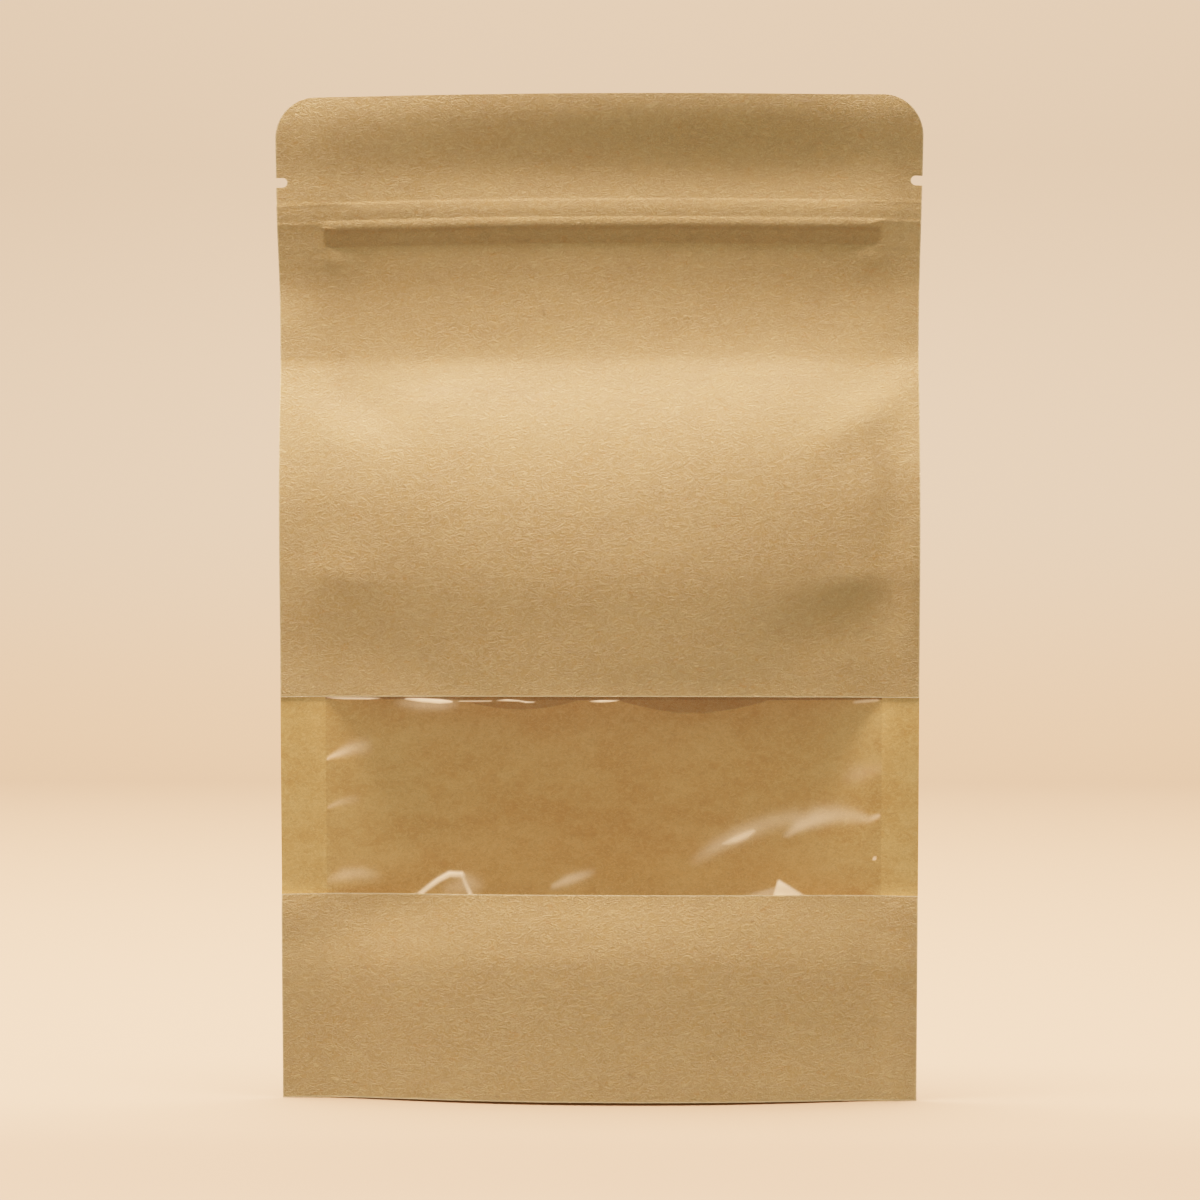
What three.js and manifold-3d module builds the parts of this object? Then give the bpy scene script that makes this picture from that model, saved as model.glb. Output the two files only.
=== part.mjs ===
import * as THREE from 'three';
import { mergeVertices } from 'three/addons/utils/BufferGeometryUtils.js';
import Module from 'manifold-3d';

// A kraft stand-up pouch, empty, shut and standing on its bottom edges. The front is two strips of
// paper with a clear band between them, the back is one sheet, and a folded sheet is let in at the
// bottom. Millimetres, +Z up; the front looks along -Y and the middle of the base is the origin.

const wasm = await Module();
wasm.setup();

const { clamp, smoothstep, lerp } = THREE.MathUtils;

// Outline
const pouchHeight = 215.4;
const topHalfWidth = 70;
const baseNarrowing = 1.4;
const shoulderNarrowing = 0.6;
const shoulderStart = 160;
const shoulderEnd = 206;
const cornerRadius = 8.6;
const notchHeight = 197.3;
const notchWidth = 2.1;
const notchDepth = 2.5;

// Side seals, as shares of the half width, counted from the middle
const leftSealEdge = -0.857;
const rightSealEdge = 0.884;

// Window band and bottom fold
const windowBottom = 43.8;
const windowTop = 86.1;
const filmLap = 4;
const foldHeight = 30;
const bottomSealHeight = 5;
const gussetEndTrim = 0.03;

// Sheets, and the gaps that keep neighbouring sheets apart
const paperThickness = 0.5;
const filmThickness = 0.2;
const sheetGap = 0.3;
const paperOffset = filmThickness / 2 + sheetGap;

// Depth: the bag leans back from leanStart up to a soft crease across it, less steeply on to the
// zip, and comes forward again above; the sheets also bow forward in the middle
const leanStart = 107;
const creaseHeight = 158.4;
const creaseLean = 8.9;
const upperLean = 2.2;
const headerReturn = 2.9;
const baseBow = 11.8;
const panelStep = 1.4;
const zipBow = 9.5;
const topBow = 8.2;
const backCurve = 1.9;
const lensRoundness = 2.2;

// Press-to-close zip, seen only as relief in the paper
const zipBottom = 183;
const zipTop = 193.1;
const flangeRelief = 0.35;
const ridgeBottom = 186.3;
const ridgeTop = 189.7;
const ridgeRelief = 1.2;
const flangeSlope = 0.3;
const ridgeSlope = 0.9;

// How finely the sheets are divided, and the width of the bend beside each side seal
const columnsAcross = 22;
const sealBend = 0.02;
const sealColumn = 0.06;

function spread(start, end, steps) {
  return Array.from({ length: steps + 1 }, (_, step) => lerp(start, end, step / steps));
}

// Half the width narrows towards the base, where the bag is spread
function halfWidth(z) {
  const taper = baseNarrowing * (1 - Math.min(z / shoulderEnd, 1));
  return topHalfWidth - taper - shoulderNarrowing * (1 - smoothstep(z, shoulderStart, shoulderEnd));
}

function seamLean(z) {
  const belowCrease = clamp((z - leanStart) / (creaseHeight - leanStart), 0, 1);
  const aboveCrease = 1 - clamp((z - creaseHeight) / (zipBottom - creaseHeight), 0, 1);
  const leaned = creaseLean * belowCrease ** 2 + upperLean * (1 - aboveCrease ** 2);
  return leaned - headerReturn * smoothstep(z, zipBottom, pouchHeight);
}

function frontBow(z) {
  const lowered = panelStep * smoothstep(z, foldHeight, windowBottom);
  const easing = (baseBow - panelStep - zipBow) * smoothstep(z, windowTop, zipBottom);
  return baseBow - lowered - easing - (zipBow - topBow) * smoothstep(z, zipTop, pouchHeight);
}

function backBow(z) {
  const rise = Math.min(z / zipBottom, 1) ** backCurve;
  return lerp(-baseBow, zipBow, rise) - (zipBow - topBow) * smoothstep(z, zipTop, pouchHeight);
}

// The bow that both sheets share: none at the base, all of it at the zip and above
function seamBow(z) {
  const shared = zipBow * smoothstep(z, foldHeight, zipBottom);
  return shared - (zipBow - topBow) * smoothstep(z, zipTop, pouchHeight);
}

// Zero on the side seals and one in the middle of the bag
function lens(u) {
  const middle = (leftSealEdge + rightSealEdge) / 2;
  const reach = (rightSealEdge - leftSealEdge) / 2;
  return Math.max(0, 1 - Math.abs((u - middle) / reach) ** lensRoundness);
}

function seamDepth(u, z) {
  return seamLean(z) - seamBow(z) * (1 - u * u);
}

function frontDepth(u, z) {
  return seamDepth(u, z) - Math.max(0, frontBow(z) - seamBow(z)) * lens(u);
}

function backDepth(u, z) {
  return seamDepth(u, z) + Math.max(0, seamBow(z) - backBow(z)) * lens(u);
}

// Relief of the zip: a flat flange with one ridge, ending at the side seals
function zipRelief(u, z) {
  if (u <= leftSealEdge || u >= rightSealEdge) return 0;
  if (z <= zipBottom || z >= zipTop) return 0;
  const onRidge = z > ridgeBottom && z < ridgeTop;
  return onRidge ? ridgeRelief : flangeRelief;
}

// A closed sheet over a grid: its first face looks along (across x along), its second lies behind it
function closedSheet(across, along, firstFace, secondFace) {
  const wide = across.length;
  const high = along.length;
  const positions = [];
  for (const face of [firstFace, secondFace]) {
    for (const v of along) {
      for (const u of across) positions.push(...face(u, v).toArray());
    }
  }
  const behind = wide * high;
  const triangles = [];
  for (let row = 0; row < high - 1; row += 1) {
    for (let column = 0; column < wide - 1; column += 1) {
      const a = row * wide + column;
      const b = a + 1;
      const c = b + wide;
      const d = a + wide;
      triangles.push(a, b, c, a, c, d);
      triangles.push(a + behind, c + behind, b + behind, a + behind, d + behind, c + behind);
    }
  }
  const rim = [];
  for (let column = 0; column < wide - 1; column += 1) rim.push(column);
  for (let row = 0; row < high - 1; row += 1) rim.push(row * wide + wide - 1);
  for (let column = wide - 1; column > 0; column -= 1) rim.push((high - 1) * wide + column);
  for (let row = high - 1; row > 0; row -= 1) rim.push(row * wide);
  rim.forEach((here, index) => {
    const next = rim[(index + 1) % rim.length];
    triangles.push(here, here + behind, next + behind, here, next + behind, next);
  });
  const geometry = new THREE.BufferGeometry();
  geometry.setAttribute('position', new THREE.Float32BufferAttribute(positions, 3));
  geometry.setIndex(triangles);
  return geometry;
}

function toSolid(geometry) {
  const bare = geometry.clone();
  bare.deleteAttribute('normal');
  bare.deleteAttribute('uv');
  const merged = mergeVertices(bare);
  const vertProperties = new Float32Array(merged.attributes.position.array);
  const triVerts = new Uint32Array(merged.index.array);
  return new wasm.Manifold(new wasm.Mesh({ numProp: 3, vertProperties, triVerts }));
}

function toGeometry(solid) {
  const { vertProperties, triVerts } = solid.getMesh();
  const geometry = new THREE.BufferGeometry();
  geometry.setAttribute('position', new THREE.BufferAttribute(vertProperties, 3));
  geometry.setIndex(new THREE.BufferAttribute(triVerts, 1));
  return geometry;
}

// A cutter stands across the whole bag, drawn in the plane of the front
function throughCutter(shape) {
  const reach = 4 * baseBow;
  const settings = { depth: reach, bevelEnabled: false, curveSegments: 8 };
  const geometry = new THREE.ExtrudeGeometry(shape, settings);
  geometry.rotateX(Math.PI / 2);
  geometry.translate(0, reach / 2, 0);
  return toSolid(geometry);
}

function cornerCutter(side) {
  const beyond = 2;
  const inner = topHalfWidth - cornerRadius;
  const shoulder = pouchHeight - cornerRadius;
  const shape = new THREE.Shape();
  shape.moveTo(side * inner, pouchHeight + beyond);
  shape.lineTo(side * inner, pouchHeight);
  shape.absarc(side * inner, shoulder, cornerRadius, Math.PI / 2, side > 0 ? 0 : Math.PI, side > 0);
  shape.lineTo(side * (topHalfWidth + beyond), shoulder);
  shape.lineTo(side * (topHalfWidth + beyond), pouchHeight + beyond);
  return throughCutter(shape);
}

function notchCutter(side) {
  const radius = notchWidth / 2;
  const tip = side * (halfWidth(notchHeight) - notchDepth + radius);
  const outside = side * (topHalfWidth + notchWidth);
  const shape = new THREE.Shape();
  shape.moveTo(outside, notchHeight - radius);
  shape.lineTo(outside, notchHeight + radius);
  shape.lineTo(tip, notchHeight + radius);
  shape.absarc(tip, notchHeight, radius, Math.PI / 2, Math.PI * 1.5, side < 0);
  return throughCutter(shape);
}

function trimmedHeader(geometry) {
  let solid = toSolid(geometry);
  for (const side of [-1, 1]) {
    solid = solid.subtract(cornerCutter(side)).subtract(notchCutter(side));
  }
  return toGeometry(solid);
}

const across = [
  -1,
  leftSealEdge - sealColumn,
  leftSealEdge,
  ...spread(leftSealEdge + sealBend, rightSealEdge - sealBend, columnsAcross),
  rightSealEdge,
  rightSealEdge + sealColumn,
  1,
];
const zipRows = [
  zipBottom - flangeSlope,
  zipBottom + flangeSlope,
  ridgeBottom - flangeSlope,
  ridgeBottom + ridgeSlope,
  ridgeTop - ridgeSlope,
  ridgeTop + flangeSlope,
  zipTop - flangeSlope,
  zipTop + flangeSlope,
];
const headerRows = spread(notchHeight, pouchHeight, 4);

function pointAt(u, z, y) {
  return new THREE.Vector3(u * halfWidth(z), y, z);
}

function frontPaper(rows) {
  const inner = (u, z) => frontDepth(u, z) - paperOffset - zipRelief(u, z);
  return closedSheet(
    across,
    rows,
    (u, z) => pointAt(u, z, inner(u, z) - paperThickness),
    (u, z) => pointAt(u, z, inner(u, z)),
  );
}

function upperFrontPanel() {
  const belowCrease = spread(windowTop, creaseHeight, 9);
  const aboveCrease = spread(creaseHeight, zipRows[0], 4).slice(1, -1);
  return trimmedHeader(frontPaper([...belowCrease, ...aboveCrease, ...zipRows, ...headerRows]));
}

function lowerFrontPanel() {
  const belowFold = spread(0, foldHeight, 3);
  const aboveFold = spread(foldHeight, windowBottom, 4).slice(1);
  return frontPaper([...belowFold, ...aboveFold]);
}

function windowFilm() {
  const rows = spread(windowBottom - filmLap, windowTop + filmLap, 7);
  return closedSheet(
    across,
    rows,
    (u, z) => pointAt(u, z, frontDepth(u, z) - filmThickness / 2),
    (u, z) => pointAt(u, z, frontDepth(u, z) + filmThickness / 2),
  );
}

function backPanel() {
  const belowCrease = spread(0, creaseHeight, 14);
  const aboveCrease = spread(creaseHeight, zipRows[0], 4).slice(1, -1);
  const inner = (u, z) => backDepth(u, z) + paperOffset + zipRelief(u, z);
  const sheet = closedSheet(
    across,
    [...belowCrease, ...aboveCrease, ...zipRows, ...headerRows],
    (u, z) => pointAt(u, z, inner(u, z)),
    (u, z) => pointAt(u, z, inner(u, z) + paperThickness),
  );
  return trimmedHeader(sheet);
}

// The bottom sheet runs up behind the front, over its fold and down in front of the back. It is
// counted from -1 at the front edge through 0 at the fold to 1 at the back edge. Where the base is
// spread wide, the fold stands lower.
function bottomGusset() {
  const sealShare = 0.8;
  const foldReach = 0.15;
  const free = foldHeight - bottomSealHeight;
  const halfRoom = (u, z) => (backDepth(u, z) - frontDepth(u, z)) / 2 + paperOffset - sheetGap;
  const foldAt = (u) => {
    const room = halfRoom(u, bottomSealHeight);
    return bottomSealHeight + Math.sqrt(free * free - room * room);
  };
  const sheetPoint = (u, v, depth) => {
    const side = Math.sign(v);
    const share = Math.abs(v);
    const top = foldAt(u) - depth;
    if (side === 0) return pointAt(u, top, 0);
    if (share >= sealShare) {
      const z = lerp(bottomSealHeight, 0, (share - sealShare) / (1 - sealShare));
      return pointAt(u, z, side * (halfRoom(u, z) - depth));
    }
    const rise = (share - foldReach) / (sealShare - foldReach);
    const z = lerp(top - sheetGap, bottomSealHeight, rise);
    const nearFold = sheetGap / 2 + paperThickness - depth;
    const nearSeal = halfRoom(u, bottomSealHeight) - depth;
    return pointAt(u, z, side * lerp(nearFold, nearSeal, rise));
  };
  const halfSheet = [foldReach, 0.37, 0.59, sealShare, 1];
  const along = [...halfSheet.map((share) => -share).reverse(), 0, ...halfSheet];
  const columns = spread(leftSealEdge + gussetEndTrim, rightSealEdge - gussetEndTrim, columnsAcross);
  return closedSheet(
    columns,
    along,
    (u, v) => sheetPoint(u, v, 0),
    (u, v) => sheetPoint(u, v, paperThickness),
  );
}

function namedPiece(name, geometry, colour, roughness) {
  const material = new THREE.MeshStandardMaterial({ color: colour, roughness, metalness: 0 });
  const piece = new THREE.Mesh(geometry, material);
  piece.name = name;
  return piece;
}

const group = new THREE.Group();
group.add(namedPiece('upper_front_panel', upperFrontPanel(), 0xb79664, 0.85));
group.add(namedPiece('lower_front_panel', lowerFrontPanel(), 0xb79664, 0.85));
group.add(namedPiece('window_film', windowFilm(), 0xece4d6, 0.15));
group.add(namedPiece('back_panel', backPanel(), 0xb08b53, 0.85));
group.add(namedPiece('bottom_gusset', bottomGusset(), 0xb08b53, 0.85));

export default group;
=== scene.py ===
import math

import bmesh
import bpy
from mathutils import Euler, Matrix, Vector


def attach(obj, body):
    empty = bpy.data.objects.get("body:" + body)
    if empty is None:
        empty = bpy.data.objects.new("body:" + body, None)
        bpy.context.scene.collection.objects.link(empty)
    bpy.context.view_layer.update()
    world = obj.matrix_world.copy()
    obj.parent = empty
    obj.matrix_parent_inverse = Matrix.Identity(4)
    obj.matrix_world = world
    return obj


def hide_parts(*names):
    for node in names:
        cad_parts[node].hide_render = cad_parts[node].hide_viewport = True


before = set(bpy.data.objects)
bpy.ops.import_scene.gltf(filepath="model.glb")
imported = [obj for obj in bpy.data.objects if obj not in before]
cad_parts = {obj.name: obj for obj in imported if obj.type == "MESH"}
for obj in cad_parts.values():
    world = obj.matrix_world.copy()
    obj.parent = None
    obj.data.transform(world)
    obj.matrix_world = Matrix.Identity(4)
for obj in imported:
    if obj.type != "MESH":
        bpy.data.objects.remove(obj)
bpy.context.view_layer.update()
mm = 0.001

# The camera comes first, at the photograph's own viewing angle: place in millimetres, angles in degrees
cameraSetup = {"lens": 140.06, "sensor": 36, "place": (54.9, -998.5, 116.3), "turn": 3.13, "down": 0.53}


def addCamera():
    made = bpy.data.cameras.new("frontCamera")
    made.lens = cameraSetup["lens"]
    made.sensor_width = cameraSetup["sensor"]
    holder = bpy.data.objects.new("frontCamera", made)
    holder.location = Vector(cameraSetup["place"]) * mm
    tilt = math.radians(90 - cameraSetup["down"])
    holder.rotation_euler = Euler((tilt, 0, math.radians(cameraSetup["turn"])))
    bpy.context.scene.collection.objects.link(holder)
    bpy.context.scene.camera = holder


addCamera()
print("camera in place")


# Small maths shared by the sheets, all in millimetres
def clamp(value, low=0.0, high=1.0):
    return max(low, min(high, value))


def mix(a, b, share):
    return a + (b - a) * share


def ease(value, start, end):
    # From 0 at the start to 1 at the end, smooth at both
    t = clamp((value - start) / (end - start))
    return t * t * (3 - 2 * t)


def spread(start, end, step):
    # Even places from start to end, about a step apart
    count = max(1, round(abs(end - start) / step))
    return [mix(start, end, k / count) for k in range(count + 1)]


def along(points, value):
    # A smooth curve through (place, height) pairs, level beyond its ends
    if value <= points[0][0]:
        return points[0][1]
    if value >= points[-1][0]:
        return points[-1][1]

    def steep(k):
        if k in (0, len(points) - 1):
            return 0.0
        return (points[k + 1][1] - points[k - 1][1]) / (points[k + 1][0] - points[k - 1][0])
    k = max(n for n in range(len(points) - 1) if points[n][0] <= value)
    (a, low), (b, high) = points[k], points[k + 1]
    t = (value - a) / (b - a)
    curve = mix(low, high, t * t * (3 - 2 * t))
    return curve + (b - a) * t * (1 - t) * ((1 - t) * steep(k) - t * steep(k + 1))


# The bag's outline, seals and depth. Every sheet is laid out by u, which runs across the bag from one cut
# edge, -1, to the other, 1, and by z, the height; the seals are places on u
pouch = {
    "height": 215.4, "halfWidth": 70.0, "baseNarrowing": 1.4, "shoulderNarrowing": 0.6,
    "shoulderStart": 160, "shoulderEnd": 206, "cornerRadius": 8.6,
    "notchHeight": 197.3, "notchWidth": 2.1, "notchDepth": 2.5,
    "leftSeal": -0.857, "rightSeal": 0.884, "cutEdge": 0.35,
    "windowBottom": 43.8, "windowTop": 86.1, "topCrown": 0.51, "bottomCrown": 0.73, "crownFade": 9,
    "leanStart": 107, "creaseHeight": 158.4, "creaseLean": 8.9, "upperLean": 2.2, "headerReturn": 2.9,
    "baseBow": 11.8, "panelStep": 1.4, "zipBow": 9.5, "topBow": 8.2, "backCurve": 1.9,
    "lensRoundness": 2.2, "seamEase": 1.35, "foldHeight": 30, "zipBottom": 183, "zipTop": 193.1,
    "sideways": -0.058, "rollFrom": 0.9, "rollDepth": 1.2,
    "paper": 0.16, "film": 0.05, "gap": 0.02,
}
# The outer face of a paper lies so far from the middle of the film
paperOffset = pouch["film"] / 2 + pouch["gap"] + pouch["paper"]


def halfWidth(z):
    # The bag narrows a little to its base, and again below its shoulders
    taper = pouch["baseNarrowing"] * (1 - min(z / pouch["shoulderEnd"], 1))
    shoulder = pouch["shoulderNarrowing"] * (1 - ease(z, pouch["shoulderStart"], pouch["shoulderEnd"]))
    return pouch["halfWidth"] - taper - shoulder


def seamLean(z):
    # How far the side seams lie back: up to the soft crease, on to the zip, and forward again above it
    below = clamp((z - pouch["leanStart"]) / (pouch["creaseHeight"] - pouch["leanStart"]))
    above = 1 - clamp((z - pouch["creaseHeight"]) / (pouch["zipBottom"] - pouch["creaseHeight"]))
    leaned = pouch["creaseLean"] * below ** 2 + pouch["upperLean"] * (1 - above ** 2)
    return leaned - pouch["headerReturn"] * ease(z, pouch["zipBottom"], pouch["height"])


def topEase(z):
    # How much the bow flattens from the zip to the top edge
    return (pouch["zipBow"] - pouch["topBow"]) * ease(z, pouch["zipTop"], pouch["height"])


def frontBow(z):
    # How far the middle of the front stands forward of its ends
    lowered = pouch["panelStep"] * ease(z, pouch["foldHeight"], pouch["windowBottom"])
    excess = pouch["baseBow"] - pouch["panelStep"] - pouch["zipBow"]
    easing = excess * ease(z, pouch["windowTop"], pouch["zipBottom"])
    return pouch["baseBow"] - lowered - easing - topEase(z)


def backBow(z):
    # The back is bowed the other way at the base, and lies against the front from the zip up
    share = min(z / pouch["zipBottom"], 1) ** pouch["backCurve"]
    return mix(-pouch["baseBow"], pouch["zipBow"], share) - topEase(z)


def seamBow(z):
    # The surface halfway between the sheets, straight across the base and bowed at the zip
    return pouch["zipBow"] * ease(z, pouch["foldHeight"], pouch["zipBottom"]) - topEase(z)


def lens(u):
    # How far the sheets part: 1 at the middle and 0 at both seals
    middle = (pouch["leftSeal"] + pouch["rightSeal"]) / 2
    reach = (pouch["rightSeal"] - pouch["leftSeal"]) / 2
    return max(0.0, 1 - abs((u - middle) / reach) ** pouch["lensRoundness"]) ** pouch["seamEase"]


# The soft shape of the sheets. The lean goes by height, in degrees, and above zero the sheet leans back and
# faces up to the light. Each fold or hollow is (place), (size), turn, lift, and a lift above zero comes
# forward
softShape = {
    "leanStep": 0.2,
    "lean": [
        (0, 0), (20, -1), (27, 0), (31, 1.5), (36, -1), (40, 3.5), (43.8, 7.5), (48, 0), (84, 1),
        (90, 1.5), (102, -4.5), (118, -4), (126, -4), (134, -0.5), (142, 5), (148, 9.4), (153, 12.1),
        (158, 11.4), (162, 5), (166, 0), (172, -2.5), (177, -6), (181, -4.5), (184, -3), (188, -1),
        (193, 7.3), (197.5, 5.2), (200, 0), (204, -5.5), (209, -5.5), (213, -1), (215.4, 1)],
    "folds": {
        "headerLeft": ((-75, 197), (48, 16), 13, 1.8), "headerRight": ((67, 196), (27, 18), 74, 1.8),
        "headerOpen": ((8, 217), (58, 13), 0, 1.8), "headerHollow": ((38, 202), (34, 8.5), 0, -0.6),
        "zipHollow": ((-45, 189.5), (14, 6), 0, -0.35), "cornerLeft": ((-68, 216), (12, 10), 0, -0.5),
        "underZipLeft": ((-67, 164), (22, 10), -87, 1.8),
        "underZipMiddle": ((-22, 179), (36, 15), -15, 0.4),
        "shoulderRight": ((72, 171), (42, 10), 33, 1.1), "creaseMiddle": ((-36, 155), (46, 7), 0, -1.1),
        "creaseLeft": ((-49, 148), (9, 5.5), -23, -1.1), "creaseTuck": ((-28, 152), (11, 3.7), 14, 0.35),
        "creaseRight": ((59, 148), (14, 5), 34, 1.1), "creaseUnder": ((57, 154), (29, 5), -15, -0.2),
        "chestMiddle": ((-15, 140), (26, 11), 3, -0.5), "chestRight": ((11, 130), (48, 19), 0, -0.75),
        "edgeRight": ((63, 122), (4, 19), 0, -1.6), "edgeLeft": ((-66, 116), (14, 9), 64, -0.7),
        "edgeTuck": ((72, 163), (6, 12), 0, 1.2), "edgeTuckLeft": ((-71, 162), (8, 12), 0, 0.9),
        "stripLeft": ((-71, 142), (17, 19), 37, -1.6), "dimpleLeft": ((-54, 112), (8, 3.5), -8, 0.22),
        "dimpleRight": ((56, 111.5), (8, 3.5), 10, 0.3), "slantRight": ((50, 101), (15, 7), 28, -0.8),
        "slantLeft": ((-30, 86), (22, 7), -25, -0.45), "overWindowRight": ((22, 86), (48, 6.7), 0, -0.85),
        "footLeft": ((-46, 40), (14, 7), 5, -1.4), "footRight": ((48, 41), (15, 8), -21, -0.8),
        "gussetRight": ((59, 33), (14, 6), -14, 0.4), "baseRight": ((44, 1), (21, 8), 0, 0.35),
    },
}


def addLean():
    # The lean added up from the floor: how far the whole sheet has come forward at each height
    step = softShape["leanStep"]
    lifts = [0.0]
    for k in range(round(pouch["height"] / step) + 2):
        lifts.append(lifts[-1] - math.tan(math.radians(along(softShape["lean"], (k + 0.5) * step))) * step)
    return lifts


leanLifts = addLean()


def bulgeLift(x, z, bulges):
    # The lift of soft round hills and hollows at a point, each (place), (size), turn, lift
    total = 0.0
    for at, size, turn, lift in bulges:
        dx, dz = x - at[0], z - at[1]
        c, s = math.cos(math.radians(turn)), math.sin(math.radians(turn))
        a = (dx * c + dz * s) / size[0]
        b = (dz * c - dx * s) / size[1]
        total += lift * math.exp(-a * a - b * b)
    return total


def softLift(x, z):
    level = clamp(z, 0, pouch["height"]) / softShape["leanStep"]
    below = int(level)
    leaned = mix(leanLifts[below], leanLifts[below + 1], level - below)
    return leaned + bulgeLift(x, z, softShape["folds"].values())


def edgeRoll(u):
    # The right seal turns back a little towards its cut edge
    return pouch["rollDepth"] * clamp((u - pouch["rollFrom"]) / (1 - pouch["rollFrom"])) ** 2


def seamDepth(u, z):
    # Depth goes back from the front; both sheets part from this surface between the seals
    return seamLean(z) - seamBow(z) * (1 - u * u) - softLift(u * halfWidth(z), z) + edgeRoll(u)


def frontDepth(u, z):
    return seamDepth(u, z) - max(0, frontBow(z) - seamBow(z)) * lens(u)


def backDepth(u, z):
    return seamDepth(u, z) + max(0, seamBow(z) - backBow(z)) * lens(u)


def sealed(u):
    return u < pouch["leftSeal"] or u > pouch["rightSeal"]


def edgeReach(z):
    # How far the cut edge stands from the middle: round top corners, and the tear notches
    reach = halfWidth(z)
    corner = pouch["cornerRadius"]
    above = z - (pouch["height"] - corner)
    if above > 0:
        reach = pouch["halfWidth"] - corner + math.sqrt(max(0, corner ** 2 - above ** 2))
    radius = pouch["notchWidth"] / 2
    off = abs(z - pouch["notchHeight"])
    if off < radius:
        reach += radius - pouch["notchDepth"] - math.sqrt(radius ** 2 - off ** 2)
    return reach


def acrossAt(u, z):
    # The seal strips take up the corners and notches, so the columns inside them stay straight
    wide = halfWidth(z)
    seal = pouch["leftSeal"] if u < 0 else pouch["rightSeal"]
    if sealed(u):
        share = (abs(u) - abs(seal)) / (1 - abs(seal))
        x = math.copysign(mix(abs(seal) * wide, edgeReach(z), share), u)
    else:
        x = u * wide
    return x + pouch["sideways"] * seamLean(z)


def shareAt(x, z):
    # The share of the half width at which a point really lies, once corners and notches have moved it
    return (x - pouch["sideways"] * seamLean(z)) / halfWidth(z)


# The mesh of every sheet, with steps in millimetres and turns in degrees. Half the width of the close pair
# of columns at a seal, sealLine, is a share of the bag's half width, and sealStep one of the sheet's step
sheetGrid = {
    "sealLine": 0.0015, "sealStep": 0.8, "notchTurn": 18, "notchInside": 0.998, "notchOutside": 1.01,
    "cornerTurn": 3, "shoulderStep": 0.9, "headerStep": 0.8, "belowZip": 1.5, "aboveZip": 2.2,
    "hardTurn": 50, "liningFacing": 0.75,
}


def columnsAcross(step, endStep=None):
    # Close columns at both seals keep their step sharp; a finer step can follow for the ends of the zip
    left, right = pouch["leftSeal"], pouch["rightSeal"]
    line = sheetGrid["sealLine"]
    share = step / pouch["halfWidth"]
    middle = spread(left + line, right - line, share)
    if endStep:
        close, reach = endStep / pouch["halfWidth"], zipRelief["endReach"]
        inner = spread(left + line + reach, right - line - reach, share)
        leftEnd = spread(left + line, inner[0], close)
        rightEnd = spread(inner[-1], right - line, close)
        middle = leftEnd[:-1] + inner + rightEnd[1:]
    cut = pouch["cutEdge"] / pouch["halfWidth"]
    leftStrip = spread(cut - 1, left - line, share * sheetGrid["sealStep"])
    rightStrip = spread(right + line, 1 - cut, share * sheetGrid["sealStep"])
    return [-1] + leftStrip + middle + rightStrip + [1]


def fanRows(radius, turns):
    return [math.sin(math.radians(turn)) * radius for turn in turns]


def headerRows():
    # Rows above the zip: a fan of them across the notches, with a close row on each side, and another
    # round the top corners
    radius = pouch["notchWidth"] / 2
    fan = fanRows(radius * sheetGrid["notchInside"], range(-90, 91, sheetGrid["notchTurn"]))
    outside = radius * sheetGrid["notchOutside"]
    notch = [pouch["notchHeight"] + z for z in [-outside, *fan, outside]]
    shoulder = pouch["height"] - pouch["cornerRadius"]
    turn = sheetGrid["cornerTurn"]
    corner = [shoulder + z for z in fanRows(pouch["cornerRadius"], range(turn, 91, turn))]
    return notch + spread(notch[-1], shoulder, sheetGrid["shoulderStep"])[1:] + corner


def sheetMesh(columns, rows, place):
    # One grid, with each point sent to its place on the sheet; place(u, z) gives millimetres
    made = bmesh.new()
    wide, high = len(columns) - 1, len(rows) - 1
    # trim marks the cut edges, where the kraft finish paints a highlight
    trim = made.verts.layers.float.new("trim")
    bmesh.ops.create_grid(made, x_segments=wide, y_segments=high, size=0.5)
    for point in made.verts:
        point[trim] = 1.0 if point.is_boundary else 0.0
        u = columns[round((point.co.x + 0.5) * wide)]
        v = rows[round((point.co.y + 0.5) * high)]
        point.co = place(u, v) * mm
    return made


def closeSheet(made, behind):
    # A second layer lies behind the first by so many millimetres of depth, joined to it all round the edge
    front = list(made.faces)
    added = bmesh.ops.extrude_face_region(made, geom=front, use_keep_orig=True)["geom"]
    layer = [item for item in added if isinstance(item, bmesh.types.BMVert)]
    bmesh.ops.translate(made, verts=layer, vec=(0, behind * mm, 0))
    bmesh.ops.recalc_face_normals(made, faces=made.faces)
    if made.calc_volume(signed=True) < 0:
        bmesh.ops.reverse_faces(made, faces=made.faces)


def finishPiece(name, made, materials, inner=None):
    for edge in made.edges:
        if len(edge.link_faces) == 2 and edge.calc_face_angle(0) > math.radians(sheetGrid["hardTurn"]):
            edge.smooth = False
    for face in made.faces:
        face.smooth = True
        if inner is not None:
            face.material_index = inner(face)
    mesh = bpy.data.meshes.new(name)
    made.to_mesh(mesh)
    made.free()
    for material in materials:
        mesh.materials.append(material)
    piece = bpy.data.objects.new(name, mesh)
    bpy.context.scene.collection.objects.link(piece)
    print(name, len(mesh.polygons), "faces")
    return piece


def innerFace(way):
    # The lining lies on the faces that look into the bag: way is 1 for the front papers, -1 for the back
    return lambda face: 1 if face.normal.y * way > sheetGrid["liningFacing"] else 0


def segmentNear(x, z, start, end):
    # Distance from a straight line and how far along it the nearest point lies
    dx, dz = end[0] - start[0], end[1] - start[1]
    share = clamp(((x - start[0]) * dx + (z - start[1]) * dz) / (dx * dx + dz * dz))
    return math.hypot(x - start[0] - dx * share, z - start[1] - dz * share), share


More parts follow.
